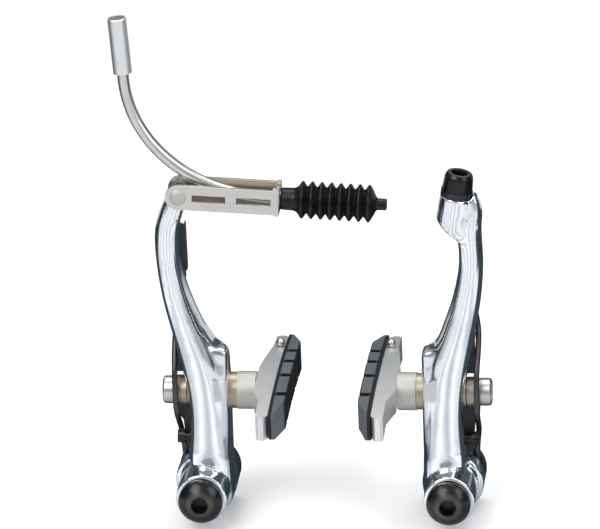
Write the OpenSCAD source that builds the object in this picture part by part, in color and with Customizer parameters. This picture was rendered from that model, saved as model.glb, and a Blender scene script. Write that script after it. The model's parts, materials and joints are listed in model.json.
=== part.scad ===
// Linear-pull rim brake for a bicycle: two cranked arms, each with a cartridge shoe, and the cable link.
// X runs to the rider's right, Y away from the viewer towards the frame, Z up.
// The origin lies midway between the two pivot axes, in the plane of the shoe posts.
// Every arm part is drawn for the right arm, with S outwards along X from its pivot, and mirrored for the left.

/* [Layout] */
// Distance between the two pivot axes
boss_spacing = 84; // [78:0.5:92]
// Height of the link pin above the pivot axis
link_height = 105; // [98:0.5:112]
// Height of the shoe post above the pivot axis
post_height = 32; // [29:0.5:36]
// Gap between the two braking faces
rim_gap = 24.6; // [20:0.2:30]

/* [Arm] */
// Width of the arm beside the shoe post
arm_width = 13; // [11:0.5:15]
// Front of the arm at the shoe post, ahead of the post axis
arm_front = 11.5; // [10:0.25:14]
// Radius of the arm's rounded lower end
foot_radius = 10.4; // [9.6:0.1:12]
// Radius of the boss round the pivot bolt
boss_radius = 8.65; // [8.2:0.05:9.2]
// Front of the boss, ahead of the post axis
boss_front = 20; // [18:0.25:22]
// Back of the arm's lower end, behind the post axis
foot_back = 3; // [2:0.25:4]
// Thickness of the arm's tongue inside the link
tongue_thickness = 7.5; // [6:0.1:9]
// Middle of the tongue and of the cable line, ahead of the post axis
cable_plane = 4; // [3:0.25:5]
// Lean of both spars to the left, at the height of the link pin
spar_lean = 1.2; // [0:0.1:2]
// Height of the flange that carries the shoe, above the post axis
flange_rise = 18; // [14:0.5:22]

/* [Pivot] */
// Radius of the hole through the pivot bushing
bushing_bore = 4.1; // [4.05:0.05:4.3]
// Wall of the pivot bushing
bushing_wall = 1.4; // [1:0.1:1.8]
// Radius of the pivot bolt's threaded shank
bolt_radius = 3; // [2.5:0.1:3.2]
// Radius of the pivot bolt's domed head
bolt_head_radius = 7.5; // [6.8:0.1:8]
// Height of the pivot bolt's domed head
bolt_head_height = 6; // [5:0.25:7]
// Width across the flats of the hexagon sockets
socket_flats = 5; // [4:0.5:6]
// How far the pivot bolt stands out behind its bushing
bolt_reach = 11; // [8:0.5:14]

/* [Return spring] */
// Radius of the spring wire
wire_radius = 1; // [0.8:0.05:1.1]
// Radius of the coil's centre line
coil_radius = 7.9; // [7.7:0.05:8.1]
// Radius of the spring holder
holder_radius = 10.4; // [10.2:0.1:12]
// Depth of the spring holder
holder_depth = 7.5; // [6.5:0.25:9]

/* [Shoe] */
// Length of the brake shoe
shoe_length = 74; // [60:1:80]
// Distance from the post back to the middle of the shoe
shoe_shift = 6.4; // [0:0.2:8]
// Height of the middle of the shoe above its post
shoe_lift = 0.6; // [0:0.1:1]
// Height of the rubber insert
pad_height = 10; // [9:0.5:13]
// Thickness of the rubber outside its holder
pad_thickness = 5; // [4:0.2:6]
// Height of the shoe holder
shoe_height = 8.2; // [7.6:0.1:10]
// Thickness of the shoe holder at its ends
shoe_edge = 4.2; // [3.5:0.1:5]
// Thickness of the shoe holder at the post
shoe_middle = 6.7; // [6:0.1:8.5]
// Radius of the rim that the shoe follows
rim_radius = 295; // [260:5:320]
// Width of a groove across the rubber
groove_width = 2; // [1.5:0.1:2.5]
// Depth of a groove across the rubber
groove_depth = 3; // [2:0.1:3.6]
// Radius of the shoe post's thread
post_radius = 3; // [2.5:0.1:3.2]
// Radius of the shoe nut
nut_radius = 4.75; // [4.4:0.05:5.2]
// Height of the shoe nut
nut_height = 4.8; // [4.2:0.1:6]

/* [Link] */
// Distance from the link pin to the outside of the link's end wall
link_length = 34; // [32:0.5:38]
// Height of the link's walls
link_wall_height = 8.7; // [8:0.1:10]
// Thickness of the link's sheet
link_sheet = 1.3; // [1:0.05:1.6]
// Slope of the link down towards the cable clamp, in degrees
link_slope = 3.3; // [0:0.1:6]
// Radius of the link pin
pin_radius = 2; // [1.6:0.1:2.4]

/* [Lead pipe and boot] */
// Radius of the curved lead pipe
pipe_radius = 2; // [1.8:0.05:2.2]
// Radius of the inner sleeve's hole
sleeve_bore = 0.9; // [0.8:0.05:1]
// Length of the ferrule on the lead pipe
ferrule_length = 19.5; // [19:0.5:24]
// Radius of the ferrule
ferrule_radius = 3.2; // [3.1:0.05:3.6]
// Largest radius of the rubber boot
boot_radius = 6.4; // [5.8:0.1:7]
// Distance from one fold of the boot to the next
boot_pitch = 3.2; // [2.8:0.1:3.4]
// Number of folds in the boot
boot_folds = 8; // [5:1:8]

/* [Cable clamp] */
// Radius of the clamp's boss on the right arm
clamp_radius = 5.4; // [5:0.1:6]
// Lean of the clamp bolt away from the rim, in degrees
clamp_lean = 9.5; // [5:0.5:14]

/* [Hidden] */

fine = 64;
coarse = 40;
hair = 0.01;
seat_gap = 0.05;
running_gap = 0.04;

half_spacing = boss_spacing / 2;
polished = [0.86, 0.87, 0.89];
satin = [0.72, 0.72, 0.71];
warm_steel = [0.70, 0.68, 0.65];
black_resin = [0.07, 0.07, 0.08];
black_steel = [0.13, 0.13, 0.14];
rubber_black = [0.09, 0.09, 0.10];

// The arm's lengthwise form. Each row is a height, the outer and inner edge, the front and the depth.
// Heights below the post follow the post, and those above it follow the link pin.
arm_inner = -arm_width + 4.9;
function low(share) = share * post_height;
function high(share) = post_height + share * (link_height - post_height);
arm_stations = [
    [-0.96 * foot_radius, 1.2, -2.6, arm_front - 1, arm_front + 1],
    [-0.72 * foot_radius, 3.6, -0.69 * foot_radius, arm_front, arm_front + 2],
    [-0.3 * foot_radius, 5.0, -0.93 * foot_radius, arm_front + 0.9, arm_front + foot_back],
    [low(0.34), 5.1, arm_inner - 1.2, arm_front + 1, arm_front + 1 + foot_back],
    [low(0.65), 4.6, arm_inner - 0.6, arm_front + 0.5, arm_front + 5.5],
    [low(1), 4.9, arm_inner, arm_front, arm_front + 5.5],
    [high(0.16), 6.8, arm_inner + 1.3, arm_front - 0.6, arm_front + 4.6],
    [high(0.3), 8.9, arm_inner + 5.4, arm_front - 1.3, arm_front + 2.6],
    [high(0.48), 11.6, arm_inner + 10.3, arm_front - 2.2, arm_front + 0.6],
    [high(0.66), 13.0, arm_inner + 13.2, arm_front - 3, arm_front - 1.8],
    [high(0.82), 12.9, arm_inner + 13.1, arm_front - 3.4, arm_front - 2.9]
];
left_top = [
    [high(0.94), 11.2, 3.4, cable_plane + tongue_thickness / 2, tongue_thickness],
    [high(0.985), 9.3, 1.6, cable_plane + tongue_thickness / 2, tongue_thickness],
    [high(1.015), 8.5, 1.9, cable_plane + tongue_thickness / 2, tongue_thickness],
    [high(1.036), 7.2, 3.1, cable_plane + tongue_thickness / 2 - 0.2, tongue_thickness - 0.4],
    [high(1.045), 6.4, 4.0, cable_plane + tongue_thickness / 2 - 0.6, tongue_thickness - 1.2]
];
right_top = [
    [high(0.93), 12.4, 5.8, cable_plane + 3.4, tongue_thickness - 1],
    [high(1.0), 10.8, 6.8, cable_plane + 2.6, tongue_thickness - 2.6]
];
ring_sides = 20;
ring_steps = 3;
square_power = 0.72;

// A smooth curve through the rows: the value a share u of the way from row b to row c
function blend4(a, b, c, d, u) =
    0.5 * (2 * b + (c - a) * u + (2 * a - 5 * b + 4 * c - d) * u * u + (3 * b - a - 3 * c + d) * u * u * u);
function row(rows, i) = rows[max(0, min(len(rows) - 1, i))];
function smooth_rows(rows, steps) = [
    for (i = [0 : len(rows) - 2], k = [0 : steps - 1])
        blend4(row(rows, i - 1), row(rows, i), row(rows, i + 1), row(rows, i + 2), k / steps),
    rows[len(rows) - 1]
];
function power(v, p) = sign(v) * pow(abs(v), p);
// One horizontal section of the arm, a softened rectangle that is rounder in front
function section(r, grow = 0) = [
    for (k = [0 : ring_sides - 1])
        let (a = 360 * (k + 0.5) / ring_sides, front = sin(a) < 0)
        [
            (r[1] + r[2]) / 2 + ((r[1] - r[2]) / 2 + grow) * power(cos(a), square_power),
            -r[3] + r[4] / 2 + (r[4] / 2 + grow) * power(sin(a), front ? 0.9 : 0.6),
            r[0]
        ]
];
module loft(rows) {
    rings = [for (r = rows) section(r)];
    n = ring_sides;
    polyhedron(
        points = [for (ring = rings) each ring],
        faces = [
            [for (k = [0 : n - 1]) k],
            for (j = [0 : len(rings) - 2], k = [0 : n - 1])
                let (m = (k + 1) % n) each [
                    [j * n + k, (j + 1) * n + k, (j + 1) * n + m],
                    [j * n + k, (j + 1) * n + m, j * n + m]
                ],
            [for (k = [n - 1 : -1 : 0]) (len(rings) - 1) * n + k]
        ]
    );
}

// Cylinders laid along Y (towards the frame) and along X (outwards), from a start to an end
module along_y(r, y0, y1, fn = fine) { translate([0, y0, 0]) rotate([-90, 0, 0]) cylinder(r = r, h = y1 - y0, $fn = fn); }
module along_x(r, x0, x1, fn = fine) { translate([x0, 0, 0]) rotate([0, 90, 0]) cylinder(r = r, h = x1 - x0, $fn = fn); }
module cone_x(r0, r1, x0, x1) {
    translate([x0, 0, 0]) rotate([0, 90, 0]) cylinder(r1 = r0, r2 = r1, h = x1 - x0, $fn = fine);
}
module hexagon(flats, depth) { cylinder(d = flats / cos(30), h = depth, $fn = 6); }
module right_side() { translate([half_spacing, 0, 0]) children(); }
module left_side() { mirror([1, 0, 0]) translate([half_spacing, 0, 0]) children(); }

// Shoe post line: every seat along it, from the arm's two faces outwards
post_hole = post_radius + 0.25;
slot_travel = 1.5;
inner_seat = arm_inner - 1;
outer_seat = 4.4;
thin_washer = 2.4;
pad_face = -(half_spacing - rim_gap / 2);
shoe_back = pad_face + pad_thickness + shoe_middle;
dome_out = 2.2;
cup_out = 2.3;
nut_start = outer_seat + dome_out + cup_out + 2 * seat_gap;
nut_end = nut_start + nut_height;
washer_radius = 6.5;
dome_radius = 7;
dome_bulge = 1.6;

bushing_radius = bushing_bore + bushing_wall;
bushing_back = foot_back + 0.3 + holder_depth + 0.2;
bolt_seat = -boss_front - 0.3;

// Forged arm below its top: spar, pivot boss, foot and the shoe flange, drawn without holes
flange_thickness = 3.6;
flange_back = 5;
function leaned(rows, lean) = [
    for (r = rows)
        let (d = lean * max(0, r[0] - post_height) / (link_height - post_height))
        [r[0], r[1] + d, r[2] + d, r[3], r[4]]
];
module arm_blank(top, lean) {
    loft(smooth_rows(concat(leaned(arm_stations, lean), top), ring_steps));
    along_y(boss_radius, -boss_front, foot_back);
    along_y(foot_radius, -4, foot_back);
    shoe_flange();
    along_post_seat();
}
// Flat-topped flange on the rim side, with a flank that runs down to the foot
module shoe_flange() {
    flange_top = post_height + flange_rise;
    translate([inner_seat, 0, 0]) rotate([90, 0, 90]) linear_extrude(flange_thickness)
        polygon([
            [-7, flange_top - 1], [-2.5, flange_top], [1, flange_top - 4],
            [flange_back - 1.5, post_height + 7], [flange_back - 1.5, post_height - 8],
            [foot_back, foot_radius + 1], [foot_back, 4], [-9, 2], [-9, post_height + 6]
        ]);
}
// Round pads that the dome washers seat on, one each side of the slot
module along_post_seat() {
    translate([0, 0, post_height]) {
        along_x(washer_radius + 0.6, inner_seat, inner_seat + flange_thickness);
        along_x(washer_radius - 0.9, 0, outer_seat);
    }
}
module post_slot() {
    for (side = [-1, 1]) translate([0, 0, post_height + side * slot_travel])
        along_x(post_hole, inner_seat - 1, outer_seat + 1, coarse);
    translate([inner_seat - 1, -post_hole, post_height - slot_travel])
        cube([outer_seat - inner_seat + 2, 2 * post_hole, 2 * slot_travel]);
}
// Shallow channel down the back of the spar
module back_channel(lean) {
    channel = [
        for (r = leaned(arm_stations, lean)) if (r[0] > post_height + 8 && r[0] < link_height - 8)
            [r[0], r[1] - 2.4, r[2] + 2.4, r[3] - r[4] + 2.2, 6]
    ];
    loft(smooth_rows(channel, 2));
}
screw_height = low(0.48);
screw_plane = -1;
screw_radius = 1.5;
screw_head = 2.3;
screw_start = 6.8;
screw_end = 9.4;
module arm_holes() {
    along_y(bushing_radius + running_gap, -boss_front - 1, foot_back + 1);
    post_slot();
    translate([0, screw_plane, screw_height]) along_x(screw_radius + running_gap, -3, 8, coarse);
    translate([5, screw_plane - screw_head - 0.5, screw_height - screw_head - 0.5])
        cube([5, 2 * screw_head + 1, 2 * screw_head + 1]);
    // Flat that the outer dome washer seats on
    translate([outer_seat, -washer_radius, post_height - washer_radius])
        cube([8, 2 * washer_radius, 2 * washer_radius]);
}

pin_s = 5.2;
module left_arm() {
    color(polished) left_side() difference() {
        arm_blank(left_top, spar_lean);
        arm_holes();
        back_channel(spar_lean);
        translate([pin_s, 0, link_height]) along_y(pin_radius + running_gap, -12, 8, coarse);
    }
}

clamp_top = link_height - 0.6;
clamp_s = 3.9;
clamp_bolt_radius = 2.5;
groove_radius = 0.9;
module clamp_axis() { translate([clamp_s, -cable_plane, clamp_top]) rotate([0, clamp_lean, 0]) children(); }
module right_arm() {
    color(polished) right_side() difference() {
        union() {
            arm_blank(right_top, -spar_lean);
            // Clamp boss, cut off at 45 degrees below
            difference() {
                clamp_axis() translate([0, 0, -16]) cylinder(r = clamp_radius, h = 16, $fn = fine);
                translate([-1.5, -cable_plane, clamp_top - 9.5]) rotate([0, 45, 0]) translate([-30, -20, -30])
                    cube([60, 40, 30]);
            }
        }
        arm_holes();
        back_channel(-spar_lean);
        clamp_axis() translate([0, 0, -10]) cylinder(r = clamp_bolt_radius + 0.1, h = 11, $fn = coarse);
        clamp_axis() cylinder(r = clamp_radius + 0.3, h = 20, $fn = fine);
    }
}

// Plain sleeve that the arm turns on, with a flange against the frame's boss
module bushing() {
    color(warm_steel) difference() {
        union() {
            along_y(bushing_radius, bolt_seat, bushing_back);
            along_y(bushing_radius + 3, bushing_back, bushing_back + 1);
        }
        along_y(bushing_bore, -boss_front - 1, bushing_back + 2);
    }
}
module left_bushing() { left_side() bushing(); }
module right_bushing() { right_side() bushing(); }

holder_front = foot_back + 0.3;
holder_wall = 1;
notch_width = 3.4;
module spring_holder() {
    color(black_resin) difference() {
        along_y(holder_radius, holder_front, holder_front + holder_depth);
        along_y(bushing_radius + 0.1, holder_front - 1, holder_front + holder_depth + 1);
        difference() {
            along_y(coil_radius + wire_radius + 0.25, holder_front - 1, holder_front + holder_depth - holder_wall);
            along_y(coil_radius - wire_radius - 0.25, holder_front - 2, holder_front + holder_depth);
        }
        translate([coil_radius - notch_width / 2, holder_front - 1, 0]) cube([notch_width + 3, notch_width + 1.6, 12]);
    }
}
module left_spring_holder() { left_side() spring_holder(); }
module right_spring_holder() { right_side() spring_holder(); }

// Spring wire: a coil in the holder, then a leg up the outside of the arm and in behind its top
coil_turns = 2;
coil_start = holder_front + holder_depth - holder_wall - wire_radius - 0.2;
wire_exit = holder_front + wire_radius + 0.4;
coil_rings = 20;
wire_sides = 8;
coil_points = [
    for (k = [0 : coil_turns * coil_rings])
        let (turn = 360 * (k / coil_rings - coil_turns), rise = k / (coil_turns * coil_rings))
        [coil_radius * cos(turn), coil_start + (wire_exit - coil_start) * rise, coil_radius * sin(turn)]
];
// The guide lies along the sloping back of the arm, between two shares of the arm's upper part
guide_s = 6;
guide_low = 0.58;
guide_high = 0.82;
guide_slope = -5.6;
guide_face = 2.2;
function guide_depth(share) = guide_face + guide_slope * (share - guide_low);
function wire_depth(share) = guide_depth(share) + wire_radius + 0.6;
leg_rows = [
    [coil_radius, wire_exit, 0],
    [7.8, 4.6, 6],
    [8.2, 3.4, screw_height - 3],
    [8.8, 2.8, screw_height + 2],
    [9.0, -4.6, post_height - 7],
    [9.1, -6.4, post_height - 2],
    [9.1, -6.4, post_height + 4],
    [9.2, -4.8, high(0.13)],
    [9.5, 0.6, high(0.22)],
    [9.2, 5.4, high(0.3)],
    [7.6, 5.8, high(0.42)],
    [guide_s, wire_depth(0.54), high(0.54)],
    [guide_s, wire_depth(guide_low), high(guide_low)],
    [guide_s, wire_depth(guide_high), high(guide_high)]
];
leg_points = smooth_rows(leg_rows, 3);
wire_points = concat(coil_points, [for (k = [1 : len(leg_points) - 1]) leg_points[k]]);
function unit(v) = v / norm(v);
// Rings that follow a path, each squared to the two stretches that meet there
module sweep(path, r, sides) {
    last = len(path) - 1;
    rings = [
        for (i = [0 : last])
            let (
                t = unit(path[min(last, i + 1)] - path[max(0, i - 1)]),
                n = unit(cross(t, abs(t[1]) > 0.9 ? [1, 0, 0] : [0, 1, 0])),
                b = cross(t, n)
            )
            [for (k = [0 : sides - 1]) path[i] + r * (cos(360 * k / sides) * n + sin(360 * k / sides) * b)]
    ];
    polyhedron(
        points = [for (ring = rings) each ring],
        faces = [
            [for (k = [0 : sides - 1]) k],
            for (j = [0 : last - 1], k = [0 : sides - 1])
                let (m = (k + 1) % sides) each [
                    [j * sides + k, (j + 1) * sides + k, (j + 1) * sides + m],
                    [j * sides + k, (j + 1) * sides + m, j * sides + m]
                ],
            [for (k = [sides - 1 : -1 : 0]) last * sides + k]
        ]
    );
}
module spring() { color(black_steel) sweep(wire_points, wire_radius, wire_sides); }
module left_spring() { left_side() spring(); }
module right_spring() { right_side() spring(); }

// Resin strip behind the arm's top, with an open groove that the end of the wire slides in
guide_width = 3.4;
guide_thickness = 3.4;
module spring_guide() {
    groove = wire_radius + 0.15;
    ends = [guide_low, guide_high];
    color(black_resin) difference() {
        translate([guide_s - guide_width / 2 + 0.1, 0, 0]) rotate([90, 0, 90]) linear_extrude(guide_width)
            polygon([
                for (e = ends) [guide_depth(e), high(e)],
                for (e = [guide_high, guide_low]) [guide_depth(e) + guide_thickness, high(e)]
            ]);
        translate([guide_s - groove, 0, 0]) rotate([90, 0, 90]) linear_extrude(2 * groove)
            polygon([
                for (e = [guide_low - 0.02, guide_high + 0.02]) [wire_depth(e) - groove, high(e)],
                for (e = [guide_high + 0.02, guide_low - 0.02]) [wire_depth(e) + 9, high(e)]
            ]);
    }
}
module left_spring_guide() { left_side() spring_guide(); }
module right_spring_guide() { right_side() spring_guide(); }

// Small cross-head screw with a notched head that sets the spring's tension
notches = 10;
module tension_screw() {
    color(black_steel) translate([0, screw_plane, screw_height]) difference() {
        union() {
            along_x(screw_radius, -2.5, screw_start + 0.1, coarse);
            along_x(screw_head, screw_start, screw_end, coarse);
        }
        for (k = [0 : notches - 1]) rotate([360 * k / notches, 0, 0]) translate([0, 0, screw_head])
            along_x(0.35, screw_start + 0.6, screw_end + 1, 16);
        for (turn = [0, 90]) rotate([turn, 0, 0]) translate([screw_end - 1.1, -1.4, -0.35]) cube([2, 2.8, 0.7]);
    }
}
module left_tension_screw() { left_side() tension_screw(); }
module right_tension_screw() { right_side() tension_screw(); }

// Domed hexagon-socket bolt that holds the bushing on the frame's boss
socket_depth = 4.2;
module pivot_bolt() {
    dome = bolt_head_radius * 1.25;
    color(black_steel) difference() {
        union() {
            intersection() {
                along_y(bolt_head_radius, bolt_seat - bolt_head_height, bolt_seat);
                translate([0, bolt_seat - bolt_head_height + dome, 0]) sphere(r = dome, $fn = fine);
            }
            along_y(bolt_radius, bolt_seat - 1, bushing_back + bolt_reach);
        }
        translate([0, bolt_seat - bolt_head_height - 0.5, 0]) rotate([-90, 0, 0]) hexagon(socket_flats, socket_depth);
    }
}
module left_pivot_bolt() { left_side() pivot_bolt(); }
module right_pivot_bolt() { right_side() pivot_bolt(); }

module at_post() { translate([0, 0, post_height]) children(); }
module shoe_post() {
    color(satin) at_post() along_x(post_radius, shoe_back - 3, nut_end - 0.6, coarse);
}
module left_shoe_post() { left_side() shoe_post(); }
module right_shoe_post() { right_side() shoe_post(); }

// Dome and cup washers swivel on each other, so the shoe can be set square to the rim
washer_hole = post_radius + 0.2;
thin_face = inner_seat - seat_gap;
thick_face = thin_face - thin_washer - seat_gap;
module thin_washer() {
    color([0.55, 0.47, 0.36]) at_post() difference() {
        union() {
            along_x(washer_radius - 0.3, thin_face - thin_washer, thin_face);
            intersection() {
                along_x(washer_radius - 1.6, thin_face - thin_washer - dome_bulge, thin_face);
                translate([thin_face - thin_washer - dome_bulge + dome_radius, 0, 0]) sphere(r = dome_radius, $fn = fine);
            }
        }
        along_x(washer_hole, thin_face - 8, thin_face + 1, coarse);
    }
}
module left_thin_washer() { left_side() thin_washer(); }
module right_thin_washer() { right_side() thin_washer(); }
module thick_washer() {
    color(warm_steel) at_post() difference() {
        along_x(washer_radius, shoe_back + seat_gap, thick_face);
        translate([thin_face - thin_washer - dome_bulge + dome_radius, 0, 0]) sphere(r = dome_radius + seat_gap, $fn = fine);
        along_x(washer_hole, shoe_back - 1, thick_face + 1, coarse);
    }
}
module left_thick_washer() { left_side() thick_washer(); }
module right_thick_washer() { right_side() thick_washer(); }
outer_radius = washer_radius - 1.4;
outer_dome_radius = 10;
outer_bulge = outer_dome_radius - sqrt(outer_dome_radius * outer_dome_radius - outer_radius * outer_radius);
dome_start = outer_seat + seat_gap;
outer_centre = dome_start + dome_out - outer_dome_radius;
module outer_dome() {
    color(satin) at_post() difference() {
        intersection() {
            along_x(outer_radius, dome_start, dome_start + dome_out + 1);
            translate([outer_centre, 0, 0]) sphere(r = outer_dome_radius, $fn = 3 * fine);
        }
        along_x(washer_hole, dome_start - 1, dome_start + dome_out + 1, coarse);
    }
}
module left_outer_dome() { left_side() outer_dome(); }
module right_outer_dome() { right_side() outer_dome(); }
cup_start = dome_start + dome_out - outer_bulge + 0.3;
module outer_cup() {
    color(satin) at_post() difference() {
        along_x(outer_radius, cup_start, nut_start - seat_gap);
        translate([outer_centre, 0, 0]) sphere(r = outer_dome_radius + seat_gap, $fn = 3 * fine);
        along_x(washer_hole, cup_start - 1, nut_start + 1, coarse);
    }
}
module left_outer_cup() { left_side() outer_cup(); }
module right_outer_cup() { right_side() outer_cup(); }
module shoe_nut() {
    color(satin) at_post() difference() {
        union() {
            along_x(nut_radius, nut_start, nut_end - 0.6);
            cone_x(nut_radius, nut_radius - 0.6, nut_end - 0.6, nut_end);
        }
        translate([nut_end - 2.6, 0, 0]) rotate([0, 90, 0]) hexagon(socket_flats, 3);
        along_x(post_radius, nut_start - 1, nut_end, coarse);
    }
}
module left_shoe_nut() { left_side() shoe_nut(); }
module right_shoe_nut() { right_side() shoe_nut(); }

// Brake shoe: a metal holder with a channel, and a rubber insert that slides into it
shoe_near = shoe_shift - shoe_length / 2;
shoe_far = shoe_shift + shoe_length / 2;
shoe_middle_height = post_height + shoe_lift;
channel_depth = 1.6;
channel_height = shoe_height - 3;
module rim_band(height, x0, x1) {
    translate([0, shoe_shift, shoe_middle_height - rim_radius]) difference() {
        along_x(rim_radius + height / 2, x0, x1, 180);
        along_x(rim_radius - height / 2, x0 - 1, x1 + 1, 180);
    }
}
// Plan outline of the holder, thick at the post and thin at its ends
module holder_plan(edge, middle) {
    polygon([
        [pad_face + pad_thickness, shoe_near + 2], [pad_face + pad_thickness + 1.5, shoe_near],
        [pad_face + pad_thickness + edge - 1, shoe_near], [pad_face + pad_thickness + edge, shoe_near + 1],
        [pad_face + pad_thickness + edge, shoe_near + 12], [shoe_back, -10], [shoe_back, 10],
        [pad_face + pad_thickness + edge, shoe_far - 12], [pad_face + pad_thickness + edge, shoe_far - 1],
        [pad_face + pad_thickness + edge - 1, shoe_far], [pad_face + pad_thickness + 1.5, shoe_far],
        [pad_face + pad_thickness, shoe_far - 2]
    ]);
}
module shoe_holder() {
    color(satin) difference() {
        intersection() {
            linear_extrude(2 * post_height) holder_plan(shoe_edge, shoe_middle);
            rim_band(shoe_height, pad_face, shoe_back + 1);
        }
        // Dovetail channel, closed at the near end
        rim_channel(0.1);
        at_post() along_x(post_radius, shoe_back - 3, shoe_back + 1, coarse);
        pin_place() cylinder(r = pin_hole, h = 20, center = true, $fn = coarse);
    }
}
module rim_channel(grow) {
    face = pad_face + pad_thickness;
    intersection() {
        translate([face - 1, shoe_near + 5, 0]) cube([channel_depth + 1 + grow, shoe_length, 2 * post_height]);
        rim_band(channel_height + 2 * grow, face - 2, face + channel_depth + 2);
    }
}
module left_shoe_holder() { left_side() shoe_holder(); }
module right_shoe_holder() { right_side() shoe_holder(); }

// How far the rim's curve falls below its highest point, at a distance along the shoe
function end_drop(along) = rim_radius - sqrt(rim_radius * rim_radius - pow(along - shoe_shift, 2));
groove_places = [-15, 0, 12.5, 23];
pad_near = shoe_near + 0.6;
pad_far = shoe_far - 0.6;
pad_taper = 10;
module pad_insert() {
    face = pad_face + pad_thickness;
    color(rubber_black) difference() {
        union() {
            intersection() {
                linear_extrude(2 * post_height) polygon([
                    [face - 0.1, pad_near], [face - 0.1, pad_far], [face - 1.4, pad_far],
                    [pad_face, pad_far - pad_taper], [pad_face, pad_near + pad_taper], [face - 1.4, pad_near]
                ]);
                rim_band(pad_height, pad_face - 1, face + 1);
                pad_side();
            }
            intersection() {
                translate([face - 0.2, shoe_near + 5.2, 0]) cube([channel_depth + 0.1, shoe_length - 6.4, 2 * post_height]);
                rim_band(channel_height, face - 2, face + channel_depth + 2);
            }
        }
        for (y = groove_places) translate([pad_face - 1, y - groove_width / 2, 0])
            cube([groove_depth + 1, groove_width, 2 * post_height]);
        pin_place() cylinder(r = pin_hole, h = 20, center = true, $fn = coarse);
    }
}
// Side outline of the insert, with its top and bottom corners sloped off at the two ends
pad_slope = 5;
module pad_side() {
    drop = end_drop(pad_far) + pad_height / 2;
    translate([pad_face - 2, 0, shoe_middle_height]) rotate([90, 0, 90]) linear_extrude(pad_thickness + 4) polygon([
        for (end = [[pad_near, 1], [pad_far, -1]]) each let (in = end[0] + end[1] * pad_slope) end[1] > 0
            ? [[in, -pad_height], [end[0], 2 - drop], [end[0], drop - 2 - 2 * end_drop(pad_far)], [in, pad_height]]
            : [[in, pad_height], [end[0], drop - 2 - 2 * end_drop(pad_far)], [end[0], 2 - drop], [in, -pad_height]]
    ]);
}
module left_pad_insert() { left_side() pad_insert(); }
module right_pad_insert() { right_side() pad_insert(); }

// Retaining pin with a round head, dropped through the holder and the insert
pad_pin_radius = 0.8;
pin_hole = pad_pin_radius + 0.05;
pin_along = shoe_far - 13;
module pin_place() {
    translate([pad_face + pad_thickness + channel_depth + 0.1, pin_along, shoe_middle_height - end_drop(pin_along)])
        children();
}
module pad_pin() {
    color(satin) pin_place() {
        translate([0, 0, -shoe_height / 2 - 0.6]) cylinder(r = pad_pin_radius, h = shoe_height + 1.2, $fn = coarse);
        translate([0, 0, shoe_height / 2 + 1.35]) sphere(r = 1.5, $fn = coarse);
    }
}
module left_pad_pin() { left_side() pad_pin(); }
module right_pad_pin() { right_side() pad_pin(); }

// Cable link, drawn with its pin at the origin and its end wall along +X, then set on the left arm
link_gap = 0.15;
link_inside = tongue_thickness / 2 + link_gap;
link_outside = link_inside + link_sheet;
end_inner = link_length - link_sheet;
nose_radius = 2.6;
module at_link() {
    translate([-half_spacing - pin_s, -cable_plane, link_height]) rotate([0, link_slope, 0]) children();
}
module wall_outline() {
    half = link_wall_height / 2;
    difference() {
        union() {
            circle(r = half, $fn = fine);
            translate([0, -half]) square([end_inner, link_wall_height]);
        }
        circle(r = pin_radius + running_gap, $fn = fine);
        for (span = [[0.14, 0.47], [0.58, 0.92]]) {
            translate([span[0] * link_length, -1.2]) square([(span[1] - span[0]) * link_length, 2.4]);
        }
    }
}
module link_bracket() {
    color(warm_steel) at_link() {
        difference() {
            union() {
                for (y = [-link_outside, link_inside])
                    translate([0, y, 0]) rotate([90, 0, 0]) translate([0, 0, -link_sheet])
                        linear_extrude(link_sheet) wall_outline();
                translate([end_inner, -link_outside, -link_wall_height / 2 - 0.4])
                    cube([link_sheet, 2 * link_outside, link_wall_height + 0.8]);
            }
            along_x(nose_radius + running_gap, end_inner - 1, link_length + 1);
            translate([end_inner - 1, -1.1, 0]) cube([link_sheet + 2, 2.2, link_wall_height]);
        }
    }
}
// Rivet through both walls and the arm's tongue
module link_pin() {
    color(warm_steel) at_link() {
        along_y(pin_radius, -link_outside - 0.1, link_outside + 0.1, coarse);
        for (side = [-1, 1]) scale([1, side, 1]) intersection() {
            along_y(2.85, -link_outside - 1, -link_outside - hair);
            translate([0, -link_outside - 1 + 5, 0]) sphere(r = 5, $fn = fine);
        }
    }
}

// Lead pipe: bends listed from the link upwards as radius and angle, then a straight end in the ferrule
bends = [[60, 14], [50, 28], [42, 41]];
pipe_tail = 2.4;
pipe_lead = 1.5;
ferrule_grip = 9;
nose_flange = 1.2;
bend_step = 5.5;
// Where bend i ends: its distance back from the link's end wall, its height and its slope
function bend_end(i) = i < 0 ? [-pipe_lead, 0, 0] : bend_point(i, bends[i][1]);
function bend_point(i, turn) =
    let (before = bend_end(i - 1), a = before[2], b = a + turn, big = bends[i][0])
    [before[0] - big * (sin(b) - sin(a)), before[1] + big * (cos(a) - cos(b)), b];
pipe_start = end_inner - nose_flange;
last_bend = bend_end(len(bends) - 1);
function on_tail(along) = [last_bend[0] - along * cos(last_bend[2]), last_bend[1] + along * sin(last_bend[2])];
pipe_route = [
    [0, 0],
    [-pipe_lead, 0],
    for (i = [0 : len(bends) - 1])
        let (steps = ceil(bends[i][1] / bend_step))
        for (k = [1 : steps]) let (e = bend_point(i, bends[i][1] * k / steps)) [e[0], e[1]],
    on_tail(pipe_tail),
    on_tail(pipe_tail + ferrule_grip)
];
pipe_sides = 14;
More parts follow.
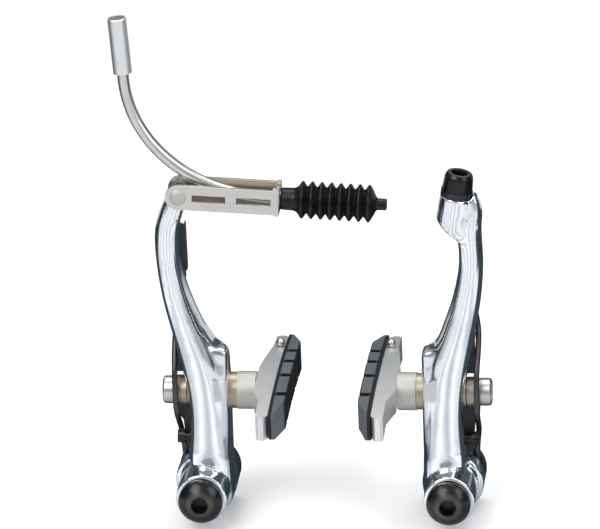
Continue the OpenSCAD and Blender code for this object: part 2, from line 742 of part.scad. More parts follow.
// A tube along the route, its two walls joined by flat rings at the ends
module tube_along(route, outer, inner, sides) {
    last = len(route) - 1;
    rings = [
        for (r = [outer, inner], i = [0 : last])
            let (t = unit(route[min(last, i + 1)] - route[max(0, i - 1)]))
            [for (k = [0 : sides - 1])
                let (across = r * cos(360 * k / sides), side = r * sin(360 * k / sides))
                [pipe_start + route[i][0] - across * t[1], side, route[i][1] + across * t[0]]]
    ];
    m = last + 1;
    polyhedron(
        points = [for (ring = rings) each ring],
        faces = [
            for (w = [0, 1], j = [0 : last - 1], k = [0 : sides - 1])
                let (n = (k + 1) % sides, a = (w * m + j) * sides, b = a + sides)
                each w == 0 ? [[a + k, a + n, b + n], [a + k, b + n, b + k]]
                    : [[a + k, b + n, a + n], [a + k, b + k, b + n]],
            for (end = [0, 1], k = [0 : sides - 1])
                let (n = (k + 1) % sides, a = end * last * sides, b = a + m * sides)
                each end == 0 ? [[a + k, b + n, a + n], [a + k, b + k, b + n]]
                    : [[a + k, a + n, b + n], [a + k, b + n, b + k]]
        ]
    );
}
module lead_pipe() {
    color(warm_steel) at_link() tube_along(pipe_route, pipe_radius, sleeve_radius + 0.08, pipe_sides);
}
sleeve_radius = pipe_radius - 0.7;
module lead_sleeve() {
    color("white") at_link() tube_along(pipe_route, sleeve_radius, sleeve_bore, pipe_sides - 4);
}
// Turned nose on the pipe's lower end, seated in the link's end wall
nose_reach = 4;
module lead_nose() {
    color(warm_steel) at_link() difference() {
        union() {
            along_x(3.5, end_inner - nose_flange, end_inner - 0.02);
            along_x(nose_radius, end_inner - 0.1, link_length + 0.3);
            cone_x(nose_radius, 1.7, link_length + 0.3, link_length + nose_reach);
        }
        along_x(sleeve_bore, end_inner - 3, link_length + nose_reach + 1, coarse);
    }
}
seat_radius = 2.55;
seat_depth = 10;
skirt_depth = 4;
module at_ferrule() {
    place = on_tail(pipe_tail);
    translate([pipe_start + place[0], 0, place[1]]) rotate([0, last_bend[2] - 90, 0]) children();
}
module lead_ferrule() {
    color(satin) at_link() at_ferrule() difference() {
        union() {
            cylinder(r = ferrule_radius, h = ferrule_length - 0.4, $fn = fine);
            translate([0, 0, ferrule_length - 0.4])
                cylinder(r1 = ferrule_radius, r2 = ferrule_radius - 0.3, h = 0.4, $fn = fine);
        }
        translate([0, 0, -1]) cylinder(r = seat_radius, h = skirt_depth + 1, $fn = fine);
        translate([0, 0, -1]) cylinder(r = pipe_radius + 0.05, h = ferrule_grip + 1.05, $fn = coarse);
        cylinder(r = sleeve_bore, h = ferrule_length, $fn = coarse);
        translate([0, 0, ferrule_length - seat_depth]) cylinder(r = seat_radius, h = seat_depth + 1, $fn = fine);
    }
}

// Rubber bellows over the bare cable, with a neck on the nose and a thin tip
boot_start = link_length + 0.15;
neck_length = 5.7;
neck_radius = 3.8;
boot_valley = boot_radius - 1.9;
tip_radius = 2;
tip_length = 3.3;
boot_wall = 1;
fold_end = neck_length + boot_folds * boot_pitch;
module boot_half(outer) {
    in = outer ? 0 : boot_wall;
    polygon([
        [0, 0], [0, neck_radius - in],
        [neck_length - 1, neck_radius - in],
        for (k = [0 : boot_folds - 1]) each [
            [neck_length + (k + 0.02) * boot_pitch, boot_valley - in],
            [neck_length + (k + 0.36) * boot_pitch, boot_radius - in - 0.15],
            [neck_length + (k + 0.5) * boot_pitch, boot_radius - in],
            [neck_length + (k + 0.64) * boot_pitch, boot_radius - in - 0.15]
        ],
        [fold_end + 0.7, tip_radius + 1.3 - in],
        [fold_end + 1.1, tip_radius - (outer ? 0 : 0.75)],
        [fold_end + 1.1 + tip_length, tip_radius - (outer ? 0 : 0.75)],
        [fold_end + 1.1 + tip_length, 0]
    ]);
}
module dust_boot() {
    color(rubber_black) at_link() translate([boot_start, 0, 0]) rotate([0, 90, 0]) rotate_extrude($fn = 48)
        rotate(90) mirror([0, 1]) difference() {
            boot_half(true);
            boot_half(false);
        }
}

clamp_plate = 2.2;
clamp_head = 6;
module clamp_washer() {
    color(black_steel) right_side() difference() {
        clamp_axis() translate([0, 0, seat_gap]) cylinder(r = clamp_radius, h = clamp_plate, $fn = fine);
        clamp_axis() cylinder(r = clamp_bolt_radius + 0.1, h = 5, $fn = coarse);
        clamp_axis() translate([0, -3.6, seat_gap]) along_x(groove_radius, -10, 10, coarse);
    }
}
module clamp_bolt() {
    color(black_steel) right_side() clamp_axis() difference() {
        union() {
            translate([0, 0, clamp_plate + 2 * seat_gap]) {
                cylinder(r1 = clamp_radius - 0.2, r2 = clamp_radius - 0.6, h = clamp_head - 1.2, $fn = fine);
                translate([0, 0, clamp_head - 1.2])
                    cylinder(r1 = clamp_radius - 0.6, r2 = clamp_radius - 1.2, h = 1.2, $fn = fine);
            }
            translate([0, 0, -9]) cylinder(r = clamp_bolt_radius, h = clamp_plate + 10, $fn = coarse);
        }
        translate([0, 0, clamp_plate + clamp_head - 3.4]) hexagon(socket_flats, 5);
    }
}

left_arm();
left_bushing();
left_spring_holder();
left_spring();
left_spring_guide();
left_tension_screw();
left_pivot_bolt();
left_shoe_post();
left_thick_washer();
left_thin_washer();
left_outer_dome();
left_outer_cup();
left_shoe_nut();
left_shoe_holder();
left_pad_insert();
left_pad_pin();
link_bracket();
link_pin();
lead_pipe();
lead_sleeve();
lead_nose();
lead_ferrule();
dust_boot();
right_arm();
right_bushing();
right_spring_holder();
right_spring();
right_spring_guide();
right_tension_screw();
right_pivot_bolt();
right_shoe_post();
right_thick_washer();
right_thin_washer();
right_outer_dome();
right_outer_cup();
right_shoe_nut();
right_shoe_holder();
right_pad_insert();
right_pad_pin();
clamp_washer();
clamp_bolt();
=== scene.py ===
"""The looks of a linear-pull rim brake: finishes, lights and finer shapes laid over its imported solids."""

import json
import math

import bmesh
import bpy
from mathutils import Matrix, Vector


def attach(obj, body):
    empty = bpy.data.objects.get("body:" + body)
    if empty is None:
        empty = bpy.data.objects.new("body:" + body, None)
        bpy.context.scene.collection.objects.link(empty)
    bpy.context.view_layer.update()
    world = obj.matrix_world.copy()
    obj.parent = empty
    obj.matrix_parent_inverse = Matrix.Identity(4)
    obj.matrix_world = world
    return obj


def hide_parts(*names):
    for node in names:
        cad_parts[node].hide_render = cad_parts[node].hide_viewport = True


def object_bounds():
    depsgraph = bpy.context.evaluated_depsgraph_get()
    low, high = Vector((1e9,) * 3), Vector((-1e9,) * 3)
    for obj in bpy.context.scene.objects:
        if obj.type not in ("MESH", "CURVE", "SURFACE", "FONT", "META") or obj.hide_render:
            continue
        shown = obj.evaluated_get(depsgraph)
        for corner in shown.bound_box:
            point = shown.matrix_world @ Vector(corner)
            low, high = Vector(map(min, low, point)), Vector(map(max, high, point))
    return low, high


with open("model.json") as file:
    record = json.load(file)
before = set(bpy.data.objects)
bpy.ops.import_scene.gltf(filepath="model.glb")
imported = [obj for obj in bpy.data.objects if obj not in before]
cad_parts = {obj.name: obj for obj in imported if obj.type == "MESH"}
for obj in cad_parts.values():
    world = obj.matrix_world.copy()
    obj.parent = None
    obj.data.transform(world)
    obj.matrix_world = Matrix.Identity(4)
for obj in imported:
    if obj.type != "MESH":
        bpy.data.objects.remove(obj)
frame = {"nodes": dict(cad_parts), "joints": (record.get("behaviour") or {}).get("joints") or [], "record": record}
cad_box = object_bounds()

MM = 0.001
SIDES = ("left", "right")
OUTWARDS = {"left": -1, "right": 1}
BODY_OF = {
    node: body
    for body, nodes in frame["record"]["behaviour"]["bodies"].items()
    for node in nodes
}

# Places that finishes and shapes share: the two pivots, the link's pin and the clamp's top
JOINTS = {joint["name"]: joint for joint in frame["joints"]}
PIVOT = {side: Vector(JOINTS[side + "_arm_pivot"]["pos_m"]) for side in SIDES}
LINK_PIN = Vector(JOINTS["link_swing"]["pos_m"])
LINK_SLOPE = math.radians(3.3)
CLAMP_TOP = Vector((45.9, -4, 104.4)) * MM
CLAMP_LEAN = math.radians(9.5)

# Camera: the photograph's direction, roll, distance and scale at a point between the arms
LOOK_AT = Vector((0, 0, 65)) * MM
TURN, RISE, ROLL = (math.radians(angle) for angle in (6.59, 21.4, 2.06))
DISTANCE = 2756 * MM
FOCAL_LENGTH = 491.2
SENSOR_WIDTH = 36
AIM_SIDEWAYS, AIM_UP = -8.23 * MM, 11.87 * MM
SEES_TO = 20


def place_camera():
    """The camera stands far off, as a long lens does, and sees the brake from slightly above."""
    right = Vector((math.cos(TURN), math.sin(TURN), 0))
    up = Vector((-math.sin(TURN) * math.sin(RISE), math.cos(TURN) * math.sin(RISE), math.cos(RISE)))
    across = right * math.cos(ROLL) - up * math.sin(ROLL)
    upwards = right * math.sin(ROLL) + up * math.cos(ROLL)
    backwards = across.cross(upwards)
    spot = LOOK_AT + AIM_SIDEWAYS * across + AIM_UP * upwards + DISTANCE * backwards
    facing = Matrix((across, upwards, backwards)).transposed().to_4x4()
    camera = bpy.data.objects.new("camera", bpy.data.cameras.new("camera"))
    bpy.context.scene.collection.objects.link(camera)
    camera.data.sensor_width = SENSOR_WIDTH
    camera.data.lens = FOCAL_LENGTH
    camera.data.clip_end = SEES_TO
    camera.matrix_world = Matrix.Translation(spot) @ facing
    bpy.context.scene.camera = camera


class Wire:
    """A socket's value, on which Python arithmetic adds Math nodes."""

    def __init__(self, tree, socket):
        self.tree = tree
        self.socket = socket

    def math(self, operation, *others):
        return self.tree.node("Math", {"operation": operation}, dict(enumerate((self, *others))))

    def __add__(self, other):
        return self.math("ADD", other)

    def __sub__(self, other):
        return self.math("SUBTRACT", other)

    def __rsub__(self, other):
        return self.tree.node("Math", {"operation": "SUBTRACT"}, {0: other, 1: self})

    def __mul__(self, other):
        return self.math("MULTIPLY", other)

    def __abs__(self):
        return self.math("ABSOLUTE")

    __radd__ = __add__
    __rmul__ = __mul__

    def clear_of(self, low, high):
        """0 below low and 1 above high, with a soft step between."""
        settings = {"interpolation_type": "SMOOTHSTEP"}
        return self.tree.node("MapRange", settings, {"Value": self, "From Min": low, "From Max": high})


class Tree:
    """A node tree that nodes are added to by one call each."""

    def __init__(self, holder):
        holder.use_nodes = True
        self.nodes = holder.node_tree.nodes
        self.links = holder.node_tree.links

    def node(self, kind, settings=None, values=None, output=0):
        """Adds a node, with its settings first and then its sockets' values or links."""
        made = self.nodes.new("ShaderNode" + kind)
        for name, value in (settings or {}).items():
            if name == "stops":
                self.set_stops(made.color_ramp, value)
            else:
                setattr(made, name, value)
        for name, value in (values or {}).items():
            self.join(value, made.inputs[name])
        return Wire(self, made.outputs[output])

    def set_stops(self, ramp, stops):
        while len(ramp.elements) < len(stops):
            ramp.elements.new(0.5)
        for element, (place, colour) in zip(ramp.elements, stops):
            element.position = place
            element.color = (*colour, 1)

    def join(self, value, socket):
        if isinstance(value, Wire):
            self.links.new(value.socket, socket)
        else:
            socket.default_value = value

    def mix(self, share, first, second):
        """The first colour where share is 0, and the second where it is 1."""
        colours = [c if isinstance(c, Wire) else (*c, 1) for c in (first, second)]
        values = {0: share, 6: colours[0], 7: colours[1]}
        return self.node("Mix", {"data_type": "RGBA"}, values, output=2)


class Finish(Tree):
    """One material: a principled shader, and what varies it over the surface."""

    def __init__(self, name, constants):
        self.material = bpy.data.materials.new(name)
        super().__init__(self.material)
        self.shader = self.nodes["Principled BSDF"]
        self.place = self.node("TexCoord", output="Object")
        for socket, value in constants.items():
            self.shader.inputs[socket].default_value = value

    def vary(self, socket, value):
        self.join(value, self.shader.inputs[socket])

    def tint(self, share, first, second):
        self.vary("Base Color", self.mix(share, first, second))

    def noise(self, size_mm, detail, stretch=(1, 1, 1)):
        """Noise with features of a size in millimetres, drawn out along the axes where stretch is small."""
        vector = self.node("Mapping", None, {"Vector": self.place, "Scale": stretch})
        values = {"Vector": vector, "Scale": 1 / (size_mm * MM), "Detail": detail}
        return self.node("TexNoise", None, values)

    def bump(self, height, depth_mm, strength):
        values = {"Height": height, "Distance": depth_mm * MM, "Strength": strength}
        self.vary("Normal", self.node("Bump", None, values, output="Normal"))

    def part(self, axis):
        """How far a point lies along one axis of the brake."""
        return self.node("SeparateXYZ", None, {0: self.place}, output=axis)


# Finishes of the metal pieces
def polished_alloy():
    finish = Finish("polished_alloy", {"Metallic": 1.0})
    lines = finish.noise(0.5, 4, (1, 1, 0.05))
    clouds = finish.noise(9, 2)
    finish.tint(clouds.clear_of(0.3, 0.7), (0.8, 0.82, 0.85), (0.87, 0.885, 0.905))
    finish.vary("Roughness", 0.1 + 0.05 * lines + 0.05 * clouds)
    finish.bump(lines, 0.002, 0.4)
    return finish.material


def satin_alloy():
    finish = Finish("satin_alloy", {"Metallic": 1.0})
    grain = finish.noise(0.22, 3)
    finish.tint(finish.noise(6, 2), (0.76, 0.762, 0.76), (0.86, 0.857, 0.848))
    finish.vary("Roughness", 0.4 + 0.14 * grain)
    finish.bump(grain, 0.012, 0.6)
    return finish.material


def warm_stainless(name, stretch, dark, pale, roughness):
    """Stainless steel with the fine lines that drawing, rolling or turning leaves."""
    finish = Finish(name, {"Metallic": 1.0})
    lines = finish.noise(0.4, 4, stretch)
    finish.tint(finish.noise(7, 2), dark, pale)
    finish.vary("Roughness", roughness + 0.16 * lines)
    finish.bump(lines, 0.006, 0.5)
    return finish.material


# Link: how far its inside faces lie from its middle, where shade is painted on them, and the strip of painted
# light along their top, above the pin
LINK_INSIDE = (3.93 * MM, 4 * MM)
LINK_PAINTED_LIGHT_STRIP = (1.8 * MM, 3.2 * MM)


def link_stainless():
    """Satin outside; the inside faces carry painted shade in dark brown, with a strip of painted light along their
    top.
    """
    finish = Finish("link_stainless_painted_shade_and_light", {"Metallic": 1.0})
    lines = finish.noise(0.4, 4, (0.05, 1, 1))
    inside = 1 - abs(finish.part("Y") - LINK_PIN.y).clear_of(*LINK_INSIDE)
    outer = finish.mix(finish.noise(7, 2), (0.6, 0.585, 0.555), (0.7, 0.685, 0.65))
    fall = math.tan(LINK_SLOPE)
    above_pin = finish.part("Z") + fall * finish.part("X") - (LINK_PIN.z + fall * LINK_PIN.x)
    # Painted shade on the inside faces, and painted light on the strip along their top
    painted_inside_shade = finish.mix(finish.noise(5, 3), (0.14, 0.12, 0.1), (0.3, 0.26, 0.21))
    inner = finish.mix(above_pin.clear_of(*LINK_PAINTED_LIGHT_STRIP), painted_inside_shade, (0.62, 0.54, 0.44))
    finish.tint(inside, outer, inner)
    finish.vary("Roughness", 0.34 + 0.14 * lines + 0.2 * inside)
    finish.bump(lines, 0.006, 0.5)
    return finish.material


def turned_steel():
    finish = Finish("turned_steel", {"Metallic": 1.0})
    rings = finish.noise(0.3, 3, (1, 0.04, 0.04))
    finish.tint(finish.noise(5, 2), (0.6, 0.58, 0.55), (0.7, 0.68, 0.65))
    finish.vary("Roughness", 0.27 + 0.12 * rings)
    finish.bump(rings, 0.003, 0.4)
    return finish.material


def black_oxide(name, black, tinted_colour, tinted_places, dullness=0.0):
    """Blackened steel, with the second colour where the given function of the finish picks: worn patches on some
    pieces, a painted reflection round the pivot bolts' sockets, a pale warm ring round the clamp bolt's socket.
    """
    finish = Finish(name, {"Metallic": 0.85, "Specular IOR Level": 0.5, "Coat Roughness": 0.12})
    grain = finish.noise(0.5, 3)
    tinted = tinted_places(finish)
    finish.tint(tinted, black, tinted_colour)
    finish.vary("Roughness", 0.26 + 0.16 * grain + dullness * tinted)
    finish.vary("Coat Weight", 0.3 - 0.25 * tinted)
    finish.bump(grain, 0.006, 0.4)
    return finish.material


def worn_patches(finish):
    return finish.noise(3, 3).clear_of(0.5, 0.8)


# Hexagon sockets: where the pale ring round the mouth starts, and where it has faded out; on the pivot bolts that
# ring is a painted reflection
SOCKET_MOUTH = (2.85 * MM, 3.15 * MM)
PIVOT_BOLT_FADE = (3.8 * MM, 5.6 * MM)
CLAMP_BOLT_FADE = (3.5 * MM, 4.2 * MM)
SOCKET_BLACK = (0.018, 0.018, 0.019)


def pale_socket_ring(finish, aside, above, fade):
    """A pale ring round a socket, a painted reflection on the pivot bolts. aside and above are distances from its
    axis, at a right angle.
    """
    off_axis = (aside * aside + above * above).math("SQRT")
    ring = off_axis.clear_of(*SOCKET_MOUTH) * (1 - off_axis.clear_of(*fade))
    return ring * (0.5 + 0.6 * finish.noise(4, 2))


# The pale ring round each pivot bolt's socket is a painted reflection
def pivot_bolt_painted_reflection(finish):
    aside = abs(finish.part("X")) - PIVOT["right"].x
    return pale_socket_ring(finish, aside, finish.part("Z"), PIVOT_BOLT_FADE)


# A pale warm ring round the clamp bolt's socket
def clamp_bolt_pale_ring(finish):
    lean = math.tan(CLAMP_LEAN)
    aside = finish.part("X") - lean * finish.part("Z") - (CLAMP_TOP.x - lean * CLAMP_TOP.z)
    return pale_socket_ring(finish, aside, finish.part("Y") - CLAMP_TOP.y, CLAMP_BOLT_FADE)


def spring_wire():
    finish = Finish("spring_wire", {"Metallic": 0.9})
    grain = finish.noise(0.6, 3)
    finish.tint(grain, (0.05, 0.05, 0.055), (0.1, 0.1, 0.105))
    finish.vary("Roughness", 0.25 + 0.15 * grain)
    finish.bump(grain, 0.01, 0.4)
    return finish.material


# Finishes of the resin and rubber pieces
def moulded_resin():
    finish = Finish("moulded_resin", {"Specular IOR Level": 0.45})
    grain = finish.noise(0.28, 2)
    finish.tint(finish.noise(4, 2), (0.016, 0.017, 0.018), (0.032, 0.034, 0.036))
    finish.vary("Roughness", 0.42 + 0.16 * grain)
    finish.bump(grain, 0.02, 0.5)
    return finish.material


# Pad: how far its face and its base lie from the brake's middle, its grooves along Y, and their half width; the
# face, the base and the grooves get painted shade
PAD_FACE = (12.5 * MM, 12.8 * MM)
PAD_BASE = (15.9 * MM, 16.2 * MM)
GROOVES = (-15 * MM, 0, 12.5 * MM, 23 * MM)
GROOVE_SIDE = (1.15 * MM, 1.4 * MM)


def pad_rubber():
    """Grey rubber on the sides of the blocks, and black painted shade on the face, along the base and in the
    grooves.
    """
    finish = Finish("pad_rubber", {"Specular IOR Level": 0.35})
    grain = finish.noise(0.35, 4)
    rubber_grey = finish.mix(finish.noise(5, 3), (0.075, 0.084, 0.092), (0.125, 0.137, 0.147))
    from_middle = abs(finish.part("X"))
    # Painted shade: near black on the face, along the base and in the grooves
    painted_shade = 1 - from_middle.clear_of(*PAD_FACE) * (1 - from_middle.clear_of(*PAD_BASE))
    for groove in GROOVES:
        aside = abs(finish.part("Y") - groove)
        painted_shade = painted_shade.math("MAXIMUM", 1 - aside.clear_of(*GROOVE_SIDE))
    finish.tint(painted_shade, rubber_grey, (0.006, 0.0065, 0.007))
    finish.vary("Roughness", 0.55 + 0.2 * grain)
    finish.bump(grain, 0.03, 0.6)
    return finish.material


def boot_rubber():
    finish = Finish("boot_rubber", {"Specular IOR Level": 0.32})
    grain = finish.noise(0.4, 3)
    dust = finish.noise(2.2, 4).clear_of(0.45, 0.75)
    finish.tint(dust, (0.003, 0.003, 0.0035), (0.01, 0.01, 0.011))
    finish.vary("Roughness", 0.3 + 0.1 * grain + 0.1 * dust)
    finish.bump(grain, 0.012, 0.4)
    return finish.material


def white_resin():
    finish = Finish("white_resin", {"Specular IOR Level": 0.4})
    grain = finish.noise(0.6, 2)
    finish.tint(grain, (0.8, 0.79, 0.76), (0.88, 0.87, 0.84))
    finish.vary("Roughness", 0.35 + 0.1 * grain)
    return finish.material


FINISHES = {
    "polished_alloy": polished_alloy(),
    "satin_alloy": satin_alloy(),
    "stainless": warm_stainless(
        "satin_stainless", (1, 0.3, 0.3), (0.52, 0.505, 0.475), (0.61, 0.595, 0.56), roughness=0.55
    ),
    "pipe": warm_stainless(
        "drawn_stainless", (0.3, 1, 0.3), (0.6, 0.59, 0.57), (0.7, 0.69, 0.66), roughness=0.24
    ),
    "bronzed_steel": warm_stainless(
        "bronzed_steel", (0.3, 1, 1), (0.4, 0.34, 0.27), (0.5, 0.43, 0.34), roughness=0.36
    ),
    "link": link_stainless(),
    "steel": turned_steel(),
    "black_steel": black_oxide("black_oxide", (0.028, 0.028, 0.03), (0.075, 0.068, 0.062), worn_patches),
    # Pivot bolts: black, with a painted reflection round the socket
    "pivot_bolt_black": black_oxide(
        "pivot_bolt_black", SOCKET_BLACK, (0.12, 0.108, 0.095), pivot_bolt_painted_reflection, dullness=0.1
    ),
    "clamp_bolt_black": black_oxide(
        "clamp_bolt_black", SOCKET_BLACK, (0.3, 0.215, 0.15), clamp_bolt_pale_ring, dullness=0.1
    ),
    "spring_steel": spring_wire(),
    "resin": moulded_resin(),
    "pad_rubber": pad_rubber(),
    "boot_rubber": boot_rubber(),
    "sleeve": white_resin(),
}

# Making pieces: merging distance, angle under which facets are one face, and rounded edges
SAME_POINT = 0.0001 * MM
FLAT = math.radians(0.4)
ROUNDED_FROM = math.radians(28)
ROUNDING_STEPS = 2


def merged_copy(node):
    """A CAD node's shape with its loose triangles joined up, as a bmesh."""
    shape = bmesh.new()
    shape.from_mesh(frame["nodes"][node].data)
    bmesh.ops.remove_doubles(shape, verts=shape.verts, dist=SAME_POINT)
    return shape


def whole_faces(node):
    """A merged copy in which the triangles of a flat face are one face."""
    shape = merged_copy(node)
    bmesh.ops.dissolve_limit(shape, angle_limit=FLAT, verts=shape.verts, edges=shape.edges)
    return shape


def add_piece(name, shape, body, finish, stands_for=(), crease=30):
    """Turns a bmesh into a piece that rides on a body, and hides the CAD nodes that it stands for."""
    mesh = bpy.data.meshes.new(name)
    shape.to_mesh(mesh)
    shape.free()
    mesh.materials.append(FINISHES[finish])
    mesh.shade_smooth()
    mesh.set_sharp_from_angle(angle=math.radians(crease))
    piece = bpy.data.objects.new(name, mesh)
    bpy.context.scene.collection.objects.link(piece)
    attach(piece, body)
    if stands_for:
        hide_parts(*stands_for)
    return piece


def round_edges(piece, width_mm):
    bevel = piece.modifiers.new("rounded_edges", "BEVEL")
    bevel.width = width_mm * MM
    bevel.segments = ROUNDING_STEPS
    bevel.limit_method = "ANGLE"
    bevel.angle_limit = ROUNDED_FROM
    bevel.harden_normals = True
    bevel.use_clamp_overlap = True


def subdivide(piece):
    surface = piece.modifiers.new("smooth_surface", "SUBSURF")
    surface.levels = surface.render_levels = 1


def finer(node, name, finish, edge_mm):
    """A CAD node's own shape with its edges rounded off."""
    piece = add_piece(name, whole_faces(node), BODY_OF[node], finish, (node,))
    round_edges(piece, edge_mm)


def recoat(node, finish):
    """A CAD node that keeps its shape gets a better finish."""
    for place in frame["nodes"][node].material_slots:
        place.material = FINISHES[finish]


def corners_of(geometry):
    return [v for v in geometry if isinstance(v, bmesh.types.BMVert)]


def closed_loop(shape, corners):
    """Edges that join corners in their order, and the last to the first."""
    return [shape.edges.new((a, b)) for a, b in zip(corners, corners[1:] + corners[:1])]


def add_prism(shape, side, outline, front, back):
    """Adds a flat block to a bmesh. Its outline is seen from the front: outwards from the pivot, and up."""
    outwards = OUTWARDS[side]
    pivot_x = PIVOT["right"].x
    corners = [
        shape.verts.new((outwards * (pivot_x + aside * MM), front * MM, height * MM))
        for aside, height in outline
    ]
    face = shape.faces.new(corners)
    raised = corners_of(bmesh.ops.extrude_face_region(shape, geom=[face])["geom"])
    bmesh.ops.translate(shape, verts=raised, vec=(0, (back - front) * MM, 0))
    block = {face for corner in corners + raised for face in corner.link_faces}
    bmesh.ops.recalc_face_normals(shape, faces=list(block))


# Arms: the boss and the top fitting keep their crisp form, and the further from them, the smoother
BOSS_RADIUS = 8.65 * MM
# The fitting at each arm's top: its middle and its radius
ARM_TOP = {"left": (LINK_PIN, 4 * MM), "right": (CLAMP_TOP, 7 * MM)}
ARM_VOXEL = 0.42 * MM
ARM_CREASE = 60
# Each smoothing zone: how far from boss and fitting it starts, in millimetres, and its passes
SMOOTH_ZONES = ((0, 4), (1.5, 6), (3, 10), (5, 24))
# What smoothing takes off, given back over this run
SPAR_SWELL, SWELL_RUN = 0.2 * MM, 4 * MM

# Web that fills the valley between the shoe flange and the spar
WEB_OUTLINE = ((-8.9, 30), (-8.9, 46), (-7.8, 48.4), (-4.6, 50.4), (-1.6, 55.5), (1, 55.5), (1, 30))
WEB_FRONT, WEB_BACK = -7.6, 2.5


def voxel_skin(source):
    """One skin of small voxels round all that a bmesh holds."""
    mesh = bpy.data.meshes.new("blank")
    source.to_mesh(mesh)
    source.free()
    blank = bpy.data.objects.new("blank", mesh)
    bpy.context.scene.collection.objects.link(blank)
    remesh = blank.modifiers.new("voxels", "REMESH")
    remesh.mode = "VOXEL"
    remesh.voxel_size = ARM_VOXEL
    finished = blank.evaluated_get(bpy.context.evaluated_depsgraph_get())
    shape = bmesh.new()
    shape.from_mesh(finished.to_mesh())
    bpy.data.objects.remove(blank)
    bpy.data.meshes.remove(mesh)
    return shape


def forged_arm(side):
    """The arm with its flanks run together, as forging and polishing leave them."""
    blank = merged_copy(side + "_arm")
    add_prism(blank, side, WEB_OUTLINE, WEB_FRONT, WEB_BACK)
    shape = voxel_skin(blank)
    pivot = PIVOT[side]
    top, top_radius = ARM_TOP[side]

    def clearance(point):
        """How far a point lies outside the pivot boss and the top fitting, seen from the front."""
        from_pivot = math.hypot(point.x - pivot.x, point.z) - BOSS_RADIUS
        from_top = math.hypot(point.x - top.x, point.z - top.z) - top_radius
        return min(from_pivot, from_top)

    for start_mm, passes in SMOOTH_ZONES:
        zone = [v for v in shape.verts if start_mm == 0 or clearance(v.co) > start_mm * MM]
        for _ in range(passes):
            bmesh.ops.smooth_vert(
                shape, verts=zone, factor=0.5, use_axis_x=True, use_axis_y=True, use_axis_z=True
            )
    shape.normal_update()
    for corner in shape.verts:
        share = min(1, max(0, clearance(corner.co) / SWELL_RUN))
        corner.co += corner.normal * SPAR_SWELL * share
    add_piece(
        side + "_forged_arm", shape, BODY_OF[side + "_arm"], "polished_alloy",
        (side + "_arm",), ARM_CREASE
    )


# The link's own axes have its pin at the origin and X along it
AT_LINK = Matrix.Translation(LINK_PIN) @ Matrix.Rotation(LINK_SLOPE, 4, "Y")
# Lead pipe, in millimetres and degrees: straight, bends of a radius and an angle each, and straight again
PIPE_START = 31.5
PIPE_RADIUS = 2
PIPE_BENDS = ((60, 14), (50, 28), (42, 41))
PIPE_LEAD, PIPE_TAIL, PIPE_GRIP = 1.5, 2.4, 9
PIPE_SIDES = 28
BEND_STEP = 2.5


def draw_out(shape, ring, step):
    """Draws a straight stretch of tube from a ring of edges."""
    grown = bmesh.ops.extrude_edge_only(shape, edges=ring)["geom"]
    corners = corners_of(grown)
    bmesh.ops.translate(shape, verts=corners, vec=step)
    edges = [e for e in grown if isinstance(e, bmesh.types.BMEdge)]
    return [e for e in edges if all(v in corners for v in e.verts)]


def lead_pipe():
    """The bent pipe, which rises from the link's end wall in three bends to the ferrule."""
    shape = bmesh.new()
    turned = Matrix.Translation((PIPE_START * MM, 0, 0)) @ Matrix.Rotation(math.pi / 2, 4, "Y")
    bmesh.ops.create_circle(shape, segments=PIPE_SIDES, radius=PIPE_RADIUS * MM, matrix=turned)
    ring = draw_out(shape, shape.edges[:], Vector((-PIPE_LEAD * MM, 0, 0)))
    spot = Vector((PIPE_START - PIPE_LEAD, 0, 0)) * MM
    slope = 0
    for radius, turn in PIPE_BENDS:
        centre = spot + Vector((math.sin(slope), 0, math.cos(slope))) * radius * MM
        angle = math.radians(turn)
        spun = bmesh.ops.spin(
            shape, geom=ring, cent=centre, axis=(0, 1, 0), angle=angle, steps=math.ceil(turn / BEND_STEP)
        )
        ring = [e for e in spun["geom_last"] if isinstance(e, bmesh.types.BMEdge)]
        slope += angle
        spot = centre - Vector((math.sin(slope), 0, math.cos(slope))) * radius * MM
    onwards = Vector((-math.cos(slope), 0, math.sin(slope)))
    draw_out(shape, ring, onwards * (PIPE_TAIL + PIPE_GRIP) * MM)
    bmesh.ops.holes_fill(shape, edges=shape.edges)
    bmesh.ops.recalc_face_normals(shape, faces=shape.faces)
    bmesh.ops.transform(shape, matrix=AT_LINK, verts=shape.verts)
    add_piece("bent_lead_pipe", shape, BODY_OF["lead_pipe"], "pipe", ("lead_pipe",))


# Boot, in millimetres along the link's axis: a neck, sharp folds, a steep cone and a thin tip
BOOT_START = 34.15
NECK_LENGTH, NECK_RADIUS = 5.7, 3.8
FOLDS, FOLD_PITCH = 8, 3.2
CREST, VALLEY = 6.4, 4.5
CREST_EDGE, VALLEY_EDGE = CREST - 0.25, VALLEY + 0.35
CONE_LENGTH = 1.1
TIP_RADIUS, TIP_LENGTH = 2, 3.3
RUBBER, LEAST_RADIUS = 1, 1.2
BOOT_SIDES = 56
BOOT_CREASE = 60
# One fold: shares of its pitch, with a radius at each
FOLD = (
    (0, VALLEY), (0.1, VALLEY_EDGE), (0.36, CREST_EDGE), (0.44, CREST), (0.56, CREST), (0.64, CREST_EDGE),
    (0.9, VALLEY_EDGE)
)


def boot_outline():
    """The boot's outer outline: distances along it, with a radius at each."""
    end = NECK_LENGTH + FOLDS * FOLD_PITCH
    tip_end = end + CONE_LENGTH + TIP_LENGTH
    neck = [(0, NECK_RADIUS - 0.25), (0.25, NECK_RADIUS)]
    neck += [(NECK_LENGTH - 1.2, NECK_RADIUS), (NECK_LENGTH - 0.8, VALLEY - 0.5)]
    folds = [
        (NECK_LENGTH + (number + share) * FOLD_PITCH, radius)
        for number in range(FOLDS)
        for share, radius in FOLD
    ]
    cone = [(end + 0.5, TIP_RADIUS + 1.2), (end + 1.0, TIP_RADIUS + 0.1), (end + 1.4, TIP_RADIUS)]
    tip = [(tip_end - 0.2, TIP_RADIUS), (tip_end, TIP_RADIUS - 0.2)]
    return neck + folds + cone + tip


